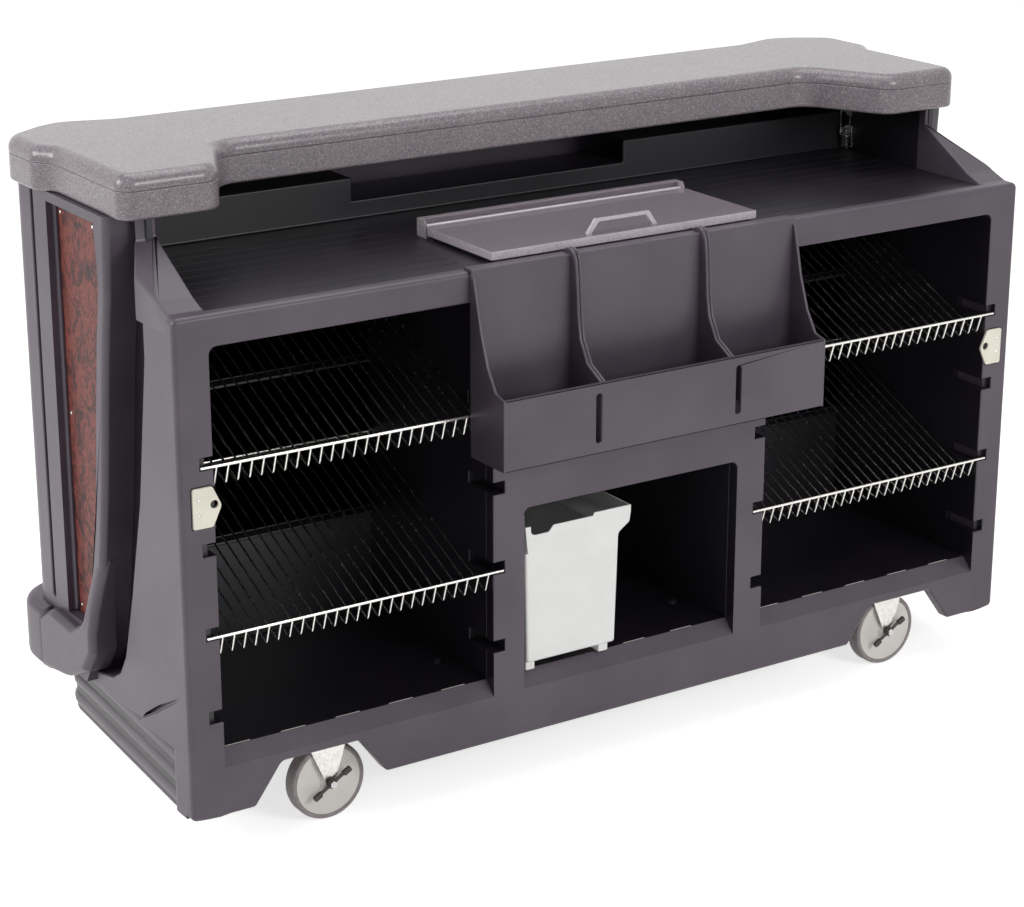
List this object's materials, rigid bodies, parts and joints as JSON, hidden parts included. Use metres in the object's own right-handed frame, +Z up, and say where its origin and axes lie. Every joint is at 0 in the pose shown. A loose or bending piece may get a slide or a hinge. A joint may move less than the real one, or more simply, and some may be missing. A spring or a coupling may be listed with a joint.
{
  "type": "portable bar",
  "caption": "Wheeled catering bar with a raised bar top, ice sink under a clear lid, speed rail, can racks in side bays, waste bin and burl guest panels.",
  "frame": {"origin": "on the floor, below the middle of the bar's box", "axes": "+Z up; the operator works from the -Y side and the guests stand on the +Y side; +X to the operator's right"},
  "size_m": [1.936, 0.813, 1.213],
  "materials": {
    "charcoal": "moulded polyethylene, fine orange peel",
    "granite_top": "speckled moulded plastic",
    "burl": "glossy burl laminate",
    "clear": "clear polycarbonate",
    "bin_white": "satin",
    "ivory": "satin",
    "steel": "bright",
    "zinc": "zinc plated",
    "tyre": "grey non-marking tread on a pale disc",
    "pedal": "matt"
  },
  "bodies": {
    "cabinet": {"operator_face": "charcoal", "front_skirt": "charcoal", "base_pan": "charcoal", "end_wall_left": "charcoal", "end_wall_right": "charcoal", "bay_divider_left": "charcoal", "bay_divider_right": "charcoal", "bay_back_wall": "charcoal", "counter_deck": "charcoal", "guest_wall": "charcoal", "guest_end_left": "charcoal", "guest_end_right": "charcoal", "foot_bumper": "charcoal", "bar_top": "granite_top", "burl_end_panel_left": "burl", "burl_end_panel_right": "burl", "burl_guest_panel_left": "burl", "burl_guest_panel_centre": "burl", "burl_guest_panel_right": "burl", "ice_sink_tub": "charcoal", "rear_strip": "clear", "rack_lip_upper_left": "zinc", "rack_tray_upper_left": "zinc", "rack_lip_upper_right": "zinc", "rack_tray_upper_right": "zinc", "lock_strike_left": "ivory", "lock_strike_right": "ivory", "latch_base_left": "steel", "latch_base_right": "steel", "latch_keeper_left": "steel", "latch_keeper_right": "steel", "caster_front_left_plate": "zinc", "caster_front_right_plate": "zinc", "caster_rear_left_plate": "zinc", "caster_rear_right_plate": "zinc"},
    "front_left_fork": {"caster_front_left_fork": "zinc", "caster_front_left_axle": "steel"},
    "front_left_wheel": {"caster_front_left_wheel": "tyre"},
    "front_left_brake": {"caster_front_left_brake": "pedal"},
    "front_right_fork": {"caster_front_right_fork": "zinc", "caster_front_right_axle": "steel"},
    "front_right_wheel": {"caster_front_right_wheel": "tyre"},
    "front_right_brake": {"caster_front_right_brake": "pedal"},
    "rear_left_fork": {"caster_rear_left_fork": "zinc", "caster_rear_left_axle": "steel"},
    "rear_left_wheel": {"caster_rear_left_wheel": "tyre"},
    "rear_right_fork": {"caster_rear_right_fork": "zinc", "caster_rear_right_axle": "steel"},
    "rear_right_wheel": {"caster_rear_right_wheel": "tyre"},
    "lid": {"ice_lid": "clear"},
    "rail": {"speed_rail": "charcoal"},
    "rack_lower_left": {"rack_lip_lower_left": "zinc", "rack_tray_lower_left": "zinc"},
    "rack_lower_right": {"rack_lip_lower_right": "zinc", "rack_tray_lower_right": "zinc"},
    "bin": {"waste_bin": "bin_white"},
    "lever_left": {"latch_lever_left": "steel"},
    "lever_right": {"latch_lever_right": "steel"},
    "bail_left": {"latch_bail_left": "steel"},
    "bail_right": {"latch_bail_right": "steel"}
  },
  "joints": [
    {"name": "front_left_swivel", "type": "hinge", "parent": "cabinet", "child": "front_left_fork", "pos_m": [-0.665, -0.2265, 0.18], "axis": [0, 0, 1], "continuous": true},
    {"name": "front_left_spin", "type": "hinge", "parent": "front_left_fork", "child": "front_left_wheel", "pos_m": [-0.638, -0.2265, 0.075], "axis": [0, 1, 0], "continuous": true},
    {"name": "front_left_brake_tip", "type": "hinge", "parent": "front_left_fork", "child": "front_left_brake", "pos_m": [-0.638, -0.2265, 0.075], "axis": [0, 1, 0], "range_deg": [0, 62]},
    {"name": "front_right_swivel", "type": "hinge", "parent": "cabinet", "child": "front_right_fork", "pos_m": [0.665, -0.2265, 0.18], "axis": [0, 0, 1], "continuous": true},
    {"name": "front_right_spin", "type": "hinge", "parent": "front_right_fork", "child": "front_right_wheel", "pos_m": [0.692, -0.2265, 0.075], "axis": [0, 1, 0], "continuous": true},
    {"name": "front_right_brake_tip", "type": "hinge", "parent": "front_right_fork", "child": "front_right_brake", "pos_m": [0.692, -0.2265, 0.075], "axis": [0, 1, 0], "range_deg": [0, 62]},
    {"name": "rear_left_swivel", "type": "hinge", "parent": "cabinet", "child": "rear_left_fork", "pos_m": [-0.665, 0.1735, 0.18], "axis": [0, 0, 1], "continuous": true},
    {"name": "rear_left_spin", "type": "hinge", "parent": "rear_left_fork", "child": "rear_left_wheel", "pos_m": [-0.638, 0.1735, 0.075], "axis": [0, 1, 0], "continuous": true},
    {"name": "rear_right_swivel", "type": "hinge", "parent": "cabinet", "child": "rear_right_fork", "pos_m": [0.665, 0.1735, 0.18], "axis": [0, 0, 1], "continuous": true},
    {"name": "rear_right_spin", "type": "hinge", "parent": "rear_right_fork", "child": "rear_right_wheel", "pos_m": [0.692, 0.1735, 0.075], "axis": [0, 1, 0], "continuous": true},
    {"name": "lid_hinge", "type": "hinge", "parent": "cabinet", "child": "lid", "pos_m": [0, -0.0305, 1.026], "axis": [-1, 0, 0], "range_deg": [0, 100]},
    {"name": "rail_lift", "type": "slide", "parent": "cabinet", "child": "rail", "axis": [0, 0, 1], "range_m": [0, 0.1]},
    {"name": "rack_lower_left_slide", "type": "slide", "parent": "cabinet", "child": "rack_lower_left", "axis": [0, -1, 0], "range_m": [0, 0.4]},
    {"name": "rack_lower_right_slide", "type": "slide", "parent": "cabinet", "child": "rack_lower_right", "axis": [0, -1, 0], "range_m": [0, 0.4]},
    {"name": "bin_slide", "type": "slide", "parent": "cabinet", "child": "bin", "axis": [0, -1, 0], "range_m": [0, 0.35]},
    {"name": "latch_turn_left", "type": "hinge", "parent": "cabinet", "child": "lever_left", "pos_m": [-0.8627, 0.1525, 1.046], "axis": [0, -1, 0], "range_deg": [0, 150]},
    {"name": "latch_turn_right", "type": "hinge", "parent": "cabinet", "child": "lever_right", "pos_m": [0.8627, 0.1525, 1.046], "axis": [0, 1, 0], "range_deg": [0, 150]},
    {"name": "bail_turn_left", "type": "hinge", "parent": "lever_left", "child": "bail_left", "pos_m": [-0.8627, 0.1525, 1.034], "axis": [0, -1, 0], "range_deg": [-150, 0]},
    {"name": "bail_turn_right", "type": "hinge", "parent": "lever_right", "child": "bail_right", "pos_m": [0.8627, 0.1525, 1.034], "axis": [0, 1, 0], "range_deg": [-150, 0]}
  ],
  "couplings": [
    {"joint": "bail_turn_left", "follows": "latch_turn_left", "ratio": -1},
    {"joint": "bail_turn_right", "follows": "latch_turn_right", "ratio": -1}
  ]
}
